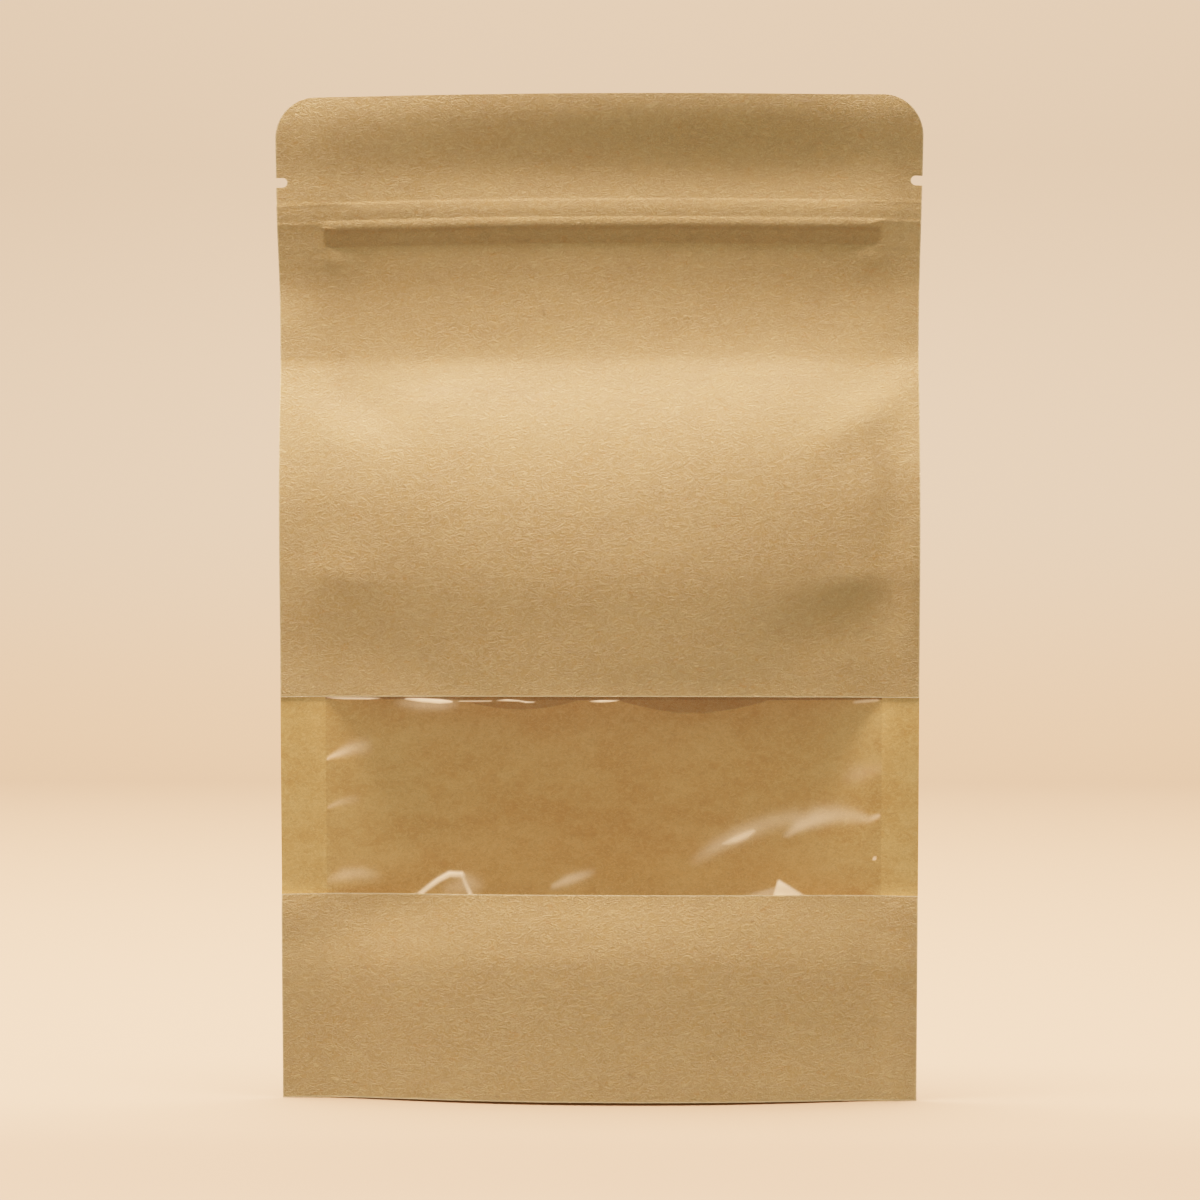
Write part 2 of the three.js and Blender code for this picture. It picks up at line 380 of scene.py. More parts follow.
# Finishes
class Signal:
    # A socket that takes arithmetic; every expression adds its Math nodes
    def __init__(self, finish, socket):
        self.finish = finish
        self.socket = socket

    def maths(self, operation, first, second=0.0):
        return self.finish.node("ShaderNodeMath", {"operation": operation}, {0: first, 1: second})

    def __add__(self, other):
        return self.maths("ADD", self, other)

    def __sub__(self, other):
        return self.maths("SUBTRACT", self, other)

    def __rsub__(self, other):
        return self.maths("SUBTRACT", other, self)

    def __mul__(self, other):
        return self.maths("MULTIPLY", self, other)

    def __truediv__(self, other):
        return self.maths("DIVIDE", self, other)

    def __abs__(self):
        return self.maths("ABSOLUTE", self)

    def between(self, low, high, start=0.0, end=1.0):
        levels = {"Value": self, "From Min": low, "From Max": high, "To Min": start, "To Max": end}
        return self.finish.node("ShaderNodeMapRange", {"interpolation_type": "SMOOTHSTEP"}, levels)

    def lines(self, width):
        # Thin curly lines, where a noise crosses its middle value
        return 1 - abs(self - 0.5).between(0.0, width)

    __radd__ = __add__
    __rmul__ = __mul__


class Finish:
    def __init__(self, name):
        self.material = bpy.data.materials.new(name)
        self.material.use_nodes = True
        self.tree = self.material.node_tree
        self.tree.nodes.clear()

    def node(self, kind, settings=None, inputs=None, out=0):
        made = self.tree.nodes.new(kind)
        for key, value in (settings or {}).items():
            setattr(made, key, value)
        for key, value in (inputs or {}).items():
            if isinstance(value, Signal):
                self.tree.links.new(value.socket, made.inputs[key])
            else:
                made.inputs[key].default_value = value
        return Signal(self, made.outputs[out]) if len(made.outputs) else None

    def spot(self):
        return self.node("ShaderNodeTexCoord", out="Object")

    def axis(self, index):
        # One of the Object coordinates: 0 goes across, 1 to the back, 2 up
        return self.node("ShaderNodeSeparateXYZ", None, {0: self.spot()}, out=index)

    def attribute(self, name):
        return self.node("ShaderNodeAttribute", {"attribute_name": name}, out="Fac")

    def noise(self, scale, turn=0.0, shift=(0, 0, 0), detail=2.0, rough=0.5, bend=0.0):
        turned = (0, math.radians(turn), 0)
        placed = self.node("ShaderNodeMapping", None,
                           {"Vector": self.spot(), "Scale": scale, "Rotation": turned, "Location": shift})
        return self.node("ShaderNodeTexNoise", None,
                         {"Vector": placed, "Scale": 1.0, "Detail": detail, "Roughness": rough,
                          "Distortion": bend})

    def tint(self, first, second, share):
        return self.node("ShaderNodeMix", {"data_type": "RGBA"}, {0: share, 6: first, 7: second}, out=2)

    def bump(self, height, distance):
        return self.node("ShaderNodeBump", None,
                         {"Height": height, "Distance": distance * mm, "Strength": 1.0})

    def surface(self, values):
        shader = self.node("ShaderNodeBsdfPrincipled", None, values)
        self.node("ShaderNodeOutputMaterial", None, {"Surface": shader})
        return self.material


black = (0, 0, 0, 1)

# Kraft paper: short curly fibres lying mostly level, warm mottling, and a few flecks and specks. Each
# pattern has its noise, the levels between which it shows, and the share of its colour that it lays on
kraftPaper = {
    "colour": (0.445, 0.281, 0.127, 1), "deep": (0.35, 0.206, 0.082, 1), "pale": (0.56, 0.374, 0.180, 1),
    "warm": (0.47, 0.262, 0.092, 1), "fleck": (0.40, 0.17, 0.045, 1), "speck": (0.16, 0.09, 0.04, 1),
    # The cut colour is a painted highlight along the cut edges
    "cut": (0.80, 0.62, 0.40, 1), "zipShade": (0.12, 0.062, 0.024, 1),
    # The darkest brown, last in the line above, is painted shade under the zip ridge
    "noises": {
        "long": {"scale": (440, 440, 700), "turn": 4, "rough": 0.6, "bend": 1.4},
        "short": {"scale": (760, 760, 1080), "turn": -14, "rough": 0.65, "bend": 1.1},
        "cloud": {"scale": (60, 60, 110), "detail": 3, "rough": 0.6},
        "mottle": {"scale": (230, 230, 330), "turn": 6, "detail": 3, "rough": 0.75},
        "grain": {"scale": (2600, 2600, 3400), "detail": 1},
        "fleck": {"scale": (420, 420, 800), "turn": 8, "rough": 0.6},
        "speck": {"scale": (620, 620, 900), "detail": 0},
    },
    "shifts": {"mottle": (0, 3, 0), "fleck": (5, 0, 0), "speck": (9, 0, 0)},
    "seedShift": (1, 0.7, 1.3),
    "levels": {
        "cloud": (0.25, 0.75), "warm": (0.42, 0.66), "deep": (0.5, 0.3), "fleck": (0.62, 0.74),
        "speck": (0.84, 0.88), "grainDeep": (0.5, 0.7), "grainPale": (0.5, 0.3), "cut": (0.0, 0.9),
        "gloss": (0.2, 0.8)},
    "shares": {
        "cloud": 0.35, "warm": 0.42, "deep": 0.42, "between": 0.19, "thread": 0.47, "strand": 0.38,
        "fleck": 0.42, "speck": 0.4, "grainDeep": 0.34, "grainPale": 0.26, "cut": 0.75, "zipShade": 0.33},
    "threadWidth": 0.06, "strandWidth": 0.05, "roughness": (0.57, 0.67),
    "fibreHeight": 0.12, "threadHeight": 0.55, "strandHeight": 0.35, "waveHeight": 0.6,
}


def kraftFinish(name, look, seed):
    finish = Finish(name)
    noises, levels, shares = look["noises"], look["levels"], look["shares"]
    shift = tuple(seed * share for share in look["seedShift"])

    def shifted(pattern):
        return finish.noise(**noises[pattern], shift=tuple(seed + step for step in look["shifts"][pattern]))
    long = finish.noise(**noises["long"], shift=shift)
    short = finish.noise(**noises["short"], shift=shift)
    cloud = finish.noise(**noises["cloud"], shift=shift)
    grain = finish.noise(**noises["grain"], shift=shift)
    mottle = shifted("mottle")
    thread = long.lines(look["threadWidth"])
    strand = short.lines(look["strandWidth"])
    body = finish.tint(look["deep"], look["pale"], cloud.between(*levels["cloud"]))
    body = finish.tint(look["colour"], body, shares["cloud"])
    body = finish.tint(body, look["warm"], mottle.between(*levels["warm"]) * shares["warm"])
    hollows = mottle.between(*levels["deep"]) * shares["deep"]
    body = finish.tint(body, look["deep"], hollows + (1 - thread) * shares["between"])
    body = finish.tint(body, look["pale"], thread * shares["thread"] + strand * shares["strand"])
    for spots in ("fleck", "speck"):
        body = finish.tint(body, look[spots], shifted(spots).between(*levels[spots]) * shares[spots])
    body = finish.tint(body, look["deep"], grain.between(*levels["grainDeep"]) * shares["grainDeep"])
    body = finish.tint(body, look["pale"], grain.between(*levels["grainPale"]) * shares["grainPale"])
    # The cut edges are paler, a painted highlight along them, and a thin band under the zip ridge is
    # darker, a painted shade where the ridge's shadow falls
    # Painted highlight along the cut edges, from the trim attribute
    edge = finish.attribute("trim").between(*levels["cut"])
    body = finish.tint(body, look["cut"], edge * shares["cut"])
    # Painted shade under the zip ridge, from the dark attribute
    body = finish.tint(body, look["zipShade"], finish.attribute("dark") * shares["zipShade"])
    height = thread * look["threadHeight"] + strand * look["strandHeight"] + long * look["waveHeight"]
    return finish.surface({
        "Base Color": body, "Roughness": cloud.between(*levels["gloss"], *look["roughness"]),
        "Normal": finish.bump(height, look["fibreHeight"])})


# The inner face of the paper has a thin plastic lining: smoother, deeper and yellower. Behind the window,
# where little light falls, the lining has a painted glow: emission that lifts its shade, in place of the
# light that comes through the thin paper, strongest at its foot and in its top corners. The places of the
# glow are in millimetres
lining = {
    "colour": (0.74, 0.415, 0.155, 1), "deep": (0.58, 0.29, 0.092, 1), "pale": (0.83, 0.50, 0.21, 1),
    "darkFibre": (0.38, 0.19, 0.06, 1), "paleFibre": (0.92, 0.60, 0.27, 1),
    "noises": {
        "cloud": {
            "scale": (70, 70, 150), "turn": 3, "shift": (3, 1, 2), "detail": 5, "rough": 0.65, "bend": 0.4},
        "mottle": {
            "scale": (230, 230, 330), "turn": 5, "shift": (7, 1, 4), "detail": 4, "rough": 0.7,
            "bend": 0.5},
        "long": {"scale": (520, 520, 820), "turn": 5, "shift": (2, 1, 9), "rough": 0.6, "bend": 1.3},
        "short": {"scale": (800, 800, 1100), "turn": -12, "shift": (5, 2, 3), "rough": 0.65, "bend": 1.1},
    },
    "levels": {"cloud": (0.3, 0.7), "mottle": (0.42, 0.66)},
    "shares": {"cloud": 0.6, "mottle": 0.5, "thread": 0.46, "strand": 0.40},
    "threadWidth": 0.06, "strandWidth": 0.05, "roughness": 0.42, "fibreHeight": 0.01,
    "paintedGlow": (0.055, 0.026, 0.009, 1), "paintedGlowHigh": (0.105, 0.042, 0.015, 1), "foot": (0.19, 0.10, 0.035, 1),
    "footFull": 43, "footTop": 60, "middle": 34, "side": 62, "highFrom": 62, "highFull": 86, "above": 98,
    "inside": 54, "seam": 66, "cornerFrom": 42, "cornerFull": 57, "cornerGain": 2,
    "paintedGlowShares": {"even": 0.88, "cloud": 0.5, "thread": 0.20, "strand": 0.15, "mottle": 0.3},
}


def liningFinish(name, look):
    finish = Finish(name)
    noises, levels, shares = look["noises"], look["levels"], look["shares"]
    cloud = finish.noise(**noises["cloud"])
    mottle = finish.noise(**noises["mottle"])
    long = finish.noise(**noises["long"])
    thread = long.lines(look["threadWidth"])
    strand = finish.noise(**noises["short"]).lines(look["strandWidth"])
    body = finish.tint(look["deep"], look["pale"], cloud.between(*levels["cloud"]))
    body = finish.tint(look["colour"], body, shares["cloud"])
    body = finish.tint(body, look["deep"], mottle.between(*levels["mottle"]) * shares["mottle"])
    body = finish.tint(body, look["paleFibre"], thread * shares["thread"])
    body = finish.tint(body, look["darkFibre"], strand * shares["strand"])
    across, height = abs(finish.axis(0)), finish.axis(2)

    def fading(way, full, gone):
        return way.between(look[full] * mm, look[gone] * mm, 1.0, 0.0)
    # Painted glow: emission that lifts the shade behind the window, strongest at its foot and in its top
    # corners
    low = fading(height, "footFull", "footTop") * fading(across, "middle", "side")
    high = height.between(look["highFrom"] * mm, look["highFull"] * mm)
    within = fading(height, "highFull", "above") * fading(across, "inside", "seam")
    paintedGlow = finish.tint(look["paintedGlow"], look["paintedGlowHigh"], high)
    paintedGlow = finish.tint(paintedGlow, look["foot"], low)
    outward = across.between(look["cornerFrom"] * mm, look["cornerFull"] * mm)
    corners = high * outward * look["cornerGain"] + 1
    parts = look["paintedGlowShares"]
    clearer = cloud * parts["cloud"] + thread * parts["thread"]
    denser = strand * parts["strand"] + mottle * parts["mottle"]
    share = within * corners * (clearer - denser + parts["even"])
    return finish.surface({
        "Base Color": body, "Roughness": look["roughness"], "Emission Strength": 1.0,
        "Emission Color": finish.tint(black, paintedGlow, share),
        "Normal": finish.bump(long, look["fibreHeight"])})


# The film is clear, with a faint painted shade where air lies behind it; gleams are painted highlights,
# whitish and glowing, and shades are brown
filmLook = {
    "colour": (0.86, 0.72, 0.58, 1), "shade": (0.075, 0.042, 0.015, 1), "shine": (1.0, 0.47, 0.24, 1),
    "strength": 1.1, "cover": 0.8, "clear": 0.006, "grazing": 0.4, "grazingBlend": 0.35,
    "roughness": 0.2, "bending": 1.5, "least": 0.0001,
}


def filmFinish(name, look):
    finish = Finish(name)
    # The gleam attribute paints highlights: a whitish colour with a glow of emission in the shine colour
    gleam = finish.attribute("gleam")
    shade = finish.attribute("shade")
    bright = gleam / (gleam + shade + look["least"])
    plastic = finish.node("ShaderNodeBsdfPrincipled", None, {
        "Base Color": finish.tint(look["shade"], look["colour"], bright), "Roughness": look["roughness"],
        "IOR": look["bending"], "Emission Strength": look["strength"],
        "Emission Color": finish.tint(black, look["shine"], bright)})
    clear = finish.node("ShaderNodeBsdfTransparent")
    edgeOn = finish.node("ShaderNodeLayerWeight", None, {"Blend": look["grazingBlend"]}, out="Facing")
    cover = gleam * look["cover"] + shade + look["clear"] + edgeOn * edgeOn * edgeOn * look["grazing"]
    share = finish.node("ShaderNodeClamp", None, {"Value": cover})
    both = finish.node("ShaderNodeMixShader", None, {0: share, 1: clear, 2: plastic})
    finish.node("ShaderNodeOutputMaterial", None, {"Surface": both})
    return finish.material


kraftOutside = kraftFinish("kraftOutside", kraftPaper, 1.0)
kraftBack = kraftFinish("kraftBack", kraftPaper, 4.0)
paperLining = liningFinish("paperLining", lining)
clearFilm = filmFinish("clearFilm", filmLook)
print("finishes made")

# The zip, seen as relief in the paper: (height, lift) pairs going up the bag, and (height, darkness) pairs
# of painted shade under its ridge.
# Its ends at the side seals are crisp between two heights, and soft below and above them
zipRelief = {
    "line": [
        (182.6, 0.0), (183.4, 0.08), (184.3, 0.32), (185.5, 0.60), (186.3, 0.78), (187.2, 1.04),
        (187.8, 1.12), (188.4, 1.10), (188.8, 1.04), (189.3, 0.90), (189.6, 0.90), (190.8, 0.89),
        (191.6, 0.84), (192.3, 0.75), (192.8, 0.64), (193.2, 0.48), (193.5, 0.44), (194.0, 0.38),
        (195.5, 0.24), (198, 0.08), (201, 0.0)],
    "pressed": [
        (174, 0.0), (182, 0.50), (183.1, 0.60), (183.4, 0.62), (187.5, 0.84), (188.5, 0.92), (188.9, 0.90),
        (189.3, 0.86), (190.8, 0.87), (192.3, 0.86), (192.7, 0.89), (193.1, 0.84), (193.6, 0.80),
        (198, 0.74), (215.4, 0.68)],
    "dark": [
        (183.3, 0.0), (183.8, 0.7), (186.2, 0.6), (186.6, 1.0), (187.1, 1.0), (187.5, 0.5), (188.1, 0.0)],
    "dipLeft": 0.54, "dipRight": 0.2, "endWidth": 0.018, "softWidth": 0.14, "endReach": 0.12,
    "crispFrom": (181, 184.5), "softFrom": (188.9, 191),
    # The crushed ends of the strip, as folds: a bright lip at each end, and a small hollow below it
    "endArea": {"across": 0.7, "low": 175, "high": 195},
    "ends": {
        "lipLeft": ((-58.4, 187.2), (1.6, 0.3), -7, 0.12),
        "lipRight": ((60.3, 188.3), (1.9, 0.3), 14, 0.12),
        "hollowLeft": ((-56.6, 180.3), (2.2, 1.2), 4, 0.16),
        "hollowRight": ((58.6, 180.6), (2.4, 1.2), -4, 0.18),
        "cheekLeft": ((-59.6, 185.5), (0.5, 3.4), 0, 0.10),
        "cheekRight": ((61.9, 186.0), (0.5, 3.4), 0, 0.10),
    },
}


def zipPlace(u, z):
    # The height at which to read the relief, as the zip dips a little to both ends, and how far the
    # point lies between the seals
    level = z + u * u * zipRelief["dipLeft" if u < 0 else "dipRight"]
    crisp = ease(level, *zipRelief["crispFrom"]) - ease(level, *zipRelief["softFrom"])
    width = mix(zipRelief["softWidth"], zipRelief["endWidth"], crisp)
    left = ease(u, pouch["leftSeal"], pouch["leftSeal"] + width)
    right = 1 - ease(u, pouch["rightSeal"] - width, pouch["rightSeal"])
    return level, left * right


def zipLift(u, z, way=1):
    # Full relief between the seals. On them both papers are pressed and go forward together, so the lift
    # there turns round for the back paper, where way is -1
    level, share = zipPlace(u, z)
    lift = mix(along(zipRelief["pressed"], level) * way, along(zipRelief["line"], level), share)
    area = zipRelief["endArea"]
    if way > 0 and abs(u) > area["across"] and area["low"] < z < area["high"]:
        lift += bulgeLift(u * halfWidth(z), z, zipRelief["ends"].values())
    return lift


# The papers
upperPaper = {"columnStep": 1.1, "rowStep": 1.1, "zipStep": 0.17, "endStep": 0.35}


def upperRows(bottom, zipStep):
    # Fine rows at the zip, plain ones below it, and the header's own rows above
    zipStart, zipEnd = pouch["zipBottom"] - sheetGrid["belowZip"], pouch["zipTop"] + sheetGrid["aboveZip"]
    below = [bottom] + spread(bottom + pouch["cutEdge"], zipStart, upperPaper["rowStep"])
    zipRows = spread(zipStart, zipEnd, zipStep)[1:]
    header = headerRows()
    return below + zipRows + spread(zipRows[-1], header[0], sheetGrid["headerStep"])[1:-1] + header


def buildUpperPaper():
    edge = pouch["windowTop"]

    def place(u, z):
        crown = pouch["topCrown"] * (1 - u * u) * (1 - ease(z, edge, edge + pouch["crownFade"]))
        high = z + crown
        x = acrossAt(u, high)
        return Vector((x, frontDepth(shareAt(x, high), high) - paperOffset - zipLift(u, z), high))
    columns = columnsAcross(upperPaper["columnStep"], upperPaper["endStep"])
    made = sheetMesh(columns, upperRows(edge, upperPaper["zipStep"]), place)
    # The dark attribute holds the painted shade under the zip ridge
    dark = made.verts.layers.float.new("dark")
    for point in made.verts:
        x, z = point.co.x / mm, point.co.z / mm
        level, share = zipPlace(shareAt(x, z), z)
        point[dark] = along(zipRelief["dark"], level) * share
    closeSheet(made, pouch["paper"])
    return finishPiece("upperFrontPaper", made, [kraftOutside, paperLining], innerFace(1))


# The middle of the bottom edge stands just clear of the floor, by a gap that fades out going up
lowerPaper = {"columnStep": 1.1, "rowStep": 0.8, "gap": 0.62, "gapRoundness": 0.8, "gapHeight": 8}


def buildLowerPaper():
    edge, cut = pouch["windowBottom"], pouch["cutEdge"]

    def place(u, z):
        crown = pouch["bottomCrown"] * (1 - u * u) * ease(z, edge - pouch["crownFade"], edge)
        gap = lowerPaper["gap"] * (1 - u * u) ** lowerPaper["gapRoundness"]
        high = z + crown + gap * (1 - ease(z, 0, lowerPaper["gapHeight"]))
        return Vector((acrossAt(u, high), frontDepth(u, high) - paperOffset, high))
    rows = [0] + spread(cut, edge - cut, lowerPaper["rowStep"]) + [edge]
    made = sheetMesh(columnsAcross(lowerPaper["columnStep"]), rows, place)
    closeSheet(made, pouch["paper"])
    return finishPiece("lowerFrontPaper", made, [kraftOutside, paperLining], innerFace(1))


backSheet = {"columnStep": 1.4, "zipStep": 0.25}


def buildBackPaper():
    def place(u, z):
        x = acrossAt(u, z)
        return Vector((x, backDepth(shareAt(x, z), z) + paperOffset + zipLift(u, z, -1), z))
    made = sheetMesh(columnsAcross(backSheet["columnStep"]), upperRows(0, backSheet["zipStep"]), place)
    closeSheet(made, -pouch["paper"])
    return finishPiece("backPaper", made, [kraftBack, paperLining], innerFace(-1))


# The bottom sheet goes up behind the front, over its fold and down in front of the back. Its rows are
# shares of the way down from the fold, to both sides: rounded to foldReach, straight to sealShare, then
# sealed to the papers
gusset = {
    "sealHeight": 5, "sheet": 0.22, "trim": 0.03, "clearance": 1.2, "foldReach": 0.10, "sealShare": 0.8,
    "foldHalf": 0.35, "foldDrop": 0.25, "columnStep": 0.03, "rowStep": 0.05, "sealRows": [0.9, 1.0],
}


def gussetRoom(u, z):
    return (backDepth(u, z) - frontDepth(u, z)) / 2 + pouch["film"] / 2


def gussetPlace(u, v):
    # The free sheet keeps its length, so the further apart the papers stand, the lower the fold
    side, share = math.copysign(1, v), abs(v)
    seal, reach, sealShare = gusset["sealHeight"], gusset["foldReach"], gusset["sealShare"]
    free = pouch["foldHeight"] - seal
    room = gussetRoom(u, seal)
    top = seal + math.sqrt(max(0, free * free - room * room))
    if share == 0:
        return Vector((acrossAt(u, top), 0, top))
    if share >= sealShare:
        z = mix(seal, gusset["clearance"], (share - sealShare) / (1 - sealShare))
        out = gussetRoom(u, z)
    else:
        rounded = min(1, share / reach)
        down = max(0, share - reach) / (sealShare - reach)
        z = mix(top - gusset["foldDrop"] * rounded, seal, down)
        out = mix(gusset["foldHalf"] * rounded, room, down)
    return Vector((acrossAt(u, z), side * out - softLift(u * halfWidth(z), z), z))


def buildGusset():
    trim = gusset["trim"]
    columns = spread(pouch["leftSeal"] + trim, pouch["rightSeal"] - trim, gusset["columnStep"])
    half = spread(gusset["foldReach"] / 2, gusset["sealShare"], gusset["rowStep"]) + gusset["sealRows"]
    rows = [-v for v in reversed(half)] + [0.0] + half
    made = sheetMesh(columns, rows, gussetPlace)
    bmesh.ops.recalc_face_normals(made, faces=made.faces)
    bmesh.ops.solidify(made, geom=list(made.faces), thickness=gusset["sheet"] * mm)
    if made.calc_volume(signed=True) < 0:
        bmesh.ops.reverse_faces(made, faces=made.faces)
    return finishPiece("bottomGusset", made, [kraftBack])


# The window film. Every gleam is a painted highlight along a spine of points (x, z, reach above, reach
# below, amount), going right; core is the share of the reach at full amount, and lift raises the film along
# the spine.
# The rows of the mesh are (from, to, step)
windowFilm = {
    # The second value on the next line is the least painted shade of the film inside the seals, where air
    # lies behind it
    "columnStep": 0.38, "airGapShade": 0.045, "liftFrom": 0.8, "liftFull": 2.5, "fade": 3, "farReach": 1.4,
    "rows": [(39.8, 44, 0.6), (44, 52, 0.35), (52, 83.4, 0.5), (83.4, 86.8, 0.15), (86.8, 90.1, 0.8)],
    "gleams": {
        "topLeft": {"lift": 0.10, "core": 0.5, "spine": [
            (-58.3, 86.1, 0.2, 0.2, 0.25), (-55.0, 85.95, 0.24, 0.24, 0.9), (-49.0, 85.95, 0.24, 0.24, 0.8),
            (-46.8, 86.05, 0.2, 0.2, 0.1)]},
        "topBright": {"lift": 0.16, "core": 0.5, "spine": [
            (-41.0, 85.9, 0.3, 0.25, 0.3), (-37.5, 85.75, 0.45, 0.6, 1.0), (-33.5, 85.45, 0.55, 0.6, 1.0),
            (-31.0, 85.35, 0.3, 0.25, 0.5)]},
        "topHaze": {"lift": 0.04, "core": 0.0, "spine": [
            (-44.0, 85.2, 1.6, 1.6, 0.0), (-38.0, 84.9, 2.2, 2.0, 0.12), (-33.0, 84.8, 2.0, 1.8, 0.12),
            (-29.0, 85.0, 1.4, 1.4, 0.0)]},
        "topThread": {"lift": 0.04, "core": 0.4, "spine": [
            (-29.5, 85.5, 0.16, 0.16, 0.3), (-22.6, 85.6, 0.16, 0.16, 0.45)]},
        "topSecond": {"lift": 0.08, "core": 0.4, "spine": [
            (-21.0, 85.75, 0.18, 0.18, 0.2), (-19.0, 85.8, 0.24, 0.24, 0.95), (-16.6, 85.7, 0.2, 0.2, 0.6),
            (-15.0, 85.4, 0.18, 0.18, 0.8), (-13.3, 85.4, 0.15, 0.15, 0.3)]},
        "topThird": {"lift": 0.10, "core": 0.4, "spine": [
            (-1.2, 85.6, 0.18, 0.18, 0.2), (1.0, 85.65, 0.28, 0.28, 0.95), (3.2, 85.7, 0.24, 0.24, 0.7),
            (4.8, 85.8, 0.18, 0.18, 0.1)]},
        "topRight": {"lift": 0.05, "core": 0.1, "spine": [
            (54.8, 85.3, 0.4, 0.5, 0.1), (56.8, 85.5, 0.5, 0.6, 0.16), (59.6, 85.7, 0.4, 0.5, 0.16)]},
        "leftHigh": {"lift": 0.12, "core": 0.0, "spine": [
            (-58.2, 73.0, 0.5, 0.35, 0.45), (-56.0, 73.8, 1.3, 0.9, 0.34), (-52.8, 75.0, 2.4, 1.8, 0.15),
            (-48.0, 75.8, 3.2, 2.6, 0.0)]},
        "leftMiddle": {"lift": 0.06, "core": 0.0, "spine": [
            (-58.0, 62.5, 0.6, 0.5, 0.13), (-55.6, 63.5, 1.3, 1.0, 0.09), (-50.5, 64.6, 2.2, 1.8, 0.0)]},
        "leftLow": {"lift": 0.08, "core": 0.0, "spine": [
            (-58.5, 46.6, 1.4, 1.4, 0.04), (-54.6, 47.9, 2.4, 2.0, 0.14), (-51.0, 48.3, 2.4, 2.0, 0.11),
            (-46.0, 47.6, 2.0, 2.0, 0.0)]},
        "peakLeft": {"lift": 0.22, "core": 0.15, "spine": [
            (-39.2, 43.2, 0.8, 0.6, 0.62), (-36.6, 45.3, 0.8, 0.6, 0.64), (-34.0, 47.2, 0.9, 0.7, 0.72),
            (-31.5, 48.6, 0.9, 0.8, 0.80), (-28.9, 48.7, 0.7, 1.1, 0.5)]},
        "peakRight": {"lift": 0.14, "core": 0.1, "spine": [
            (-28.9, 48.7, 0.6, 0.6, 0.3), (-28.0, 46.6, 0.6, 0.6, 0.3), (-26.4, 43.2, 0.7, 0.6, 0.5)]},
        "peakHaze": {"lift": 0.04, "core": 0.0, "spine": [
            (-31.5, 45.5, 2.6, 2.6, 0.06), (-27.5, 46.8, 3.2, 3.4, 0.10), (-23.5, 46.0, 2.4, 2.8, 0.0)]},
        "middleLow": {"lift": 0.08, "core": 0.0, "spine": [
            (-9.0, 46.4, 0.9, 1.2, 0.1), (-6.0, 47.6, 1.8, 1.6, 0.16), (-3.4, 48.4, 1.8, 1.5, 0.13),
            (0.4, 49.6, 1.6, 1.2, 0.0)]},
        "bandEdge": {"lift": 0.10, "core": 0.1, "spine": [
            (27.0, 55.4, 0.4, 0.4, 0.2), (29.3, 56.2, 1.0, 1.1, 0.40), (31.4, 57.0, 1.2, 1.1, 0.40),
            (33.2, 58.0, 0.7, 0.8, 0.3)]},
        "bandSoft": {"lift": 0.10, "core": 0.0, "spine": [
            (19.5, 50.8, 2.0, 2.0, 0.0), (25.4, 54.6, 2.8, 2.3, 0.11), (30.5, 57.2, 3.0, 2.6, 0.13),
            (36.5, 59.6, 3.0, 2.8, 0.09), (42.0, 60.8, 3.0, 3.0, 0.08)]},
        "bandWide": {"lift": 0.12, "core": 0.0, "spine": [
            (40.5, 57.0, 1.4, 0.9, 0.1), (43.2, 58.8, 2.8, 1.6, 0.24), (47.0, 60.3, 3.8, 2.3, 0.25),
            (51.0, 61.0, 3.6, 2.4, 0.18), (55.0, 60.7, 2.8, 2.2, 0.14), (57.8, 60.1, 1.4, 1.2, 0.15),
            (59.8, 60.9, 0.7, 0.7, 0.3)]},
        "rightHigh": {"lift": 0.04, "core": 0.0, "spine": [
            (51.5, 68.8, 2.6, 2.4, 0.0), (55.5, 69.9, 3.2, 2.8, 0.07), (60.0, 71.0, 2.2, 2.0, 0.04)]},
        "speck": {"lift": 0.02, "core": 0.5, "spine": [
            (58.9, 51.8, 0.3, 0.3, 0.5), (59.2, 51.8, 0.3, 0.3, 0.5)]},
        "cornerHaze": {"lift": 0.04, "core": 0.0, "spine": [
            (29.5, 42.6, 1.0, 1.4, 0.1), (33.5, 43.9, 1.5, 2.6, 0.13), (37.3, 45.4, 0.8, 3.4, 0.13)]},
    },
    # The folded corner at the right is a filled triangle of painted highlight: top, left foot, right foot,
    # amount at each
    "corner": {
        "points": [(38.4, 48.0), (36.6, 42.2), (47.6, 42.2)], "amounts": (0.92, 0.75, 0.22), "soft": 0.7,
        "lift": 0.2},
    # Brown shades hang in flat arcs from the paper's edge: from, to, how far down, amount. A thin painted
    # shadow runs along the whole edge, just under the paper
    "shades": {"left": (-30.5, -2.4, 2.45, 0.24), "right": (3.6, 37.8, 3.1, 0.26)},
    "shadeSoft": 0.16, "shadeRoundness": 0.85, "behindEdge": 0.2,
    "edgeShadow": 0.34, "edgeShadowFrom": 0.5, "edgeShadowFull": 0.1,
}


def spineBox(form):
    # The area that a gleam can touch: left, right, low, high
    reach = windowFilm["farReach"] * max(max(point[2:4]) for point in form["spine"])
    across = [point[0] for point in form["spine"]]
    upward = [point[1] for point in form["spine"]]
    return min(across) - reach, max(across) + reach, min(upward) - reach, max(upward) + reach


gleamBoxes = [(form, spineBox(form)) for form in windowFilm["gleams"].values()]


def spineShare(x, z, form):
    # The amount of a gleam at a point, from the piece of its spine that lies nearest
    nearest = None
    for start, end in zip(form["spine"], form["spine"][1:]):
        off, share = segmentNear(x, z, start, end)
        if nearest is None or off < nearest[0]:
            above = (end[0] - start[0]) * (z - start[1]) > (end[1] - start[1]) * (x - start[0])
            side = 2 if above else 3
            nearest = (off, mix(start[side], end[side], share), mix(start[4], end[4], share))
    off, reach, amount = nearest
    beyond = max(0.0, off / reach - form["core"]) / (1 - form["core"])
    fall = math.exp(-windowFilm["fade"] * beyond * beyond)
    return fall, amount * fall


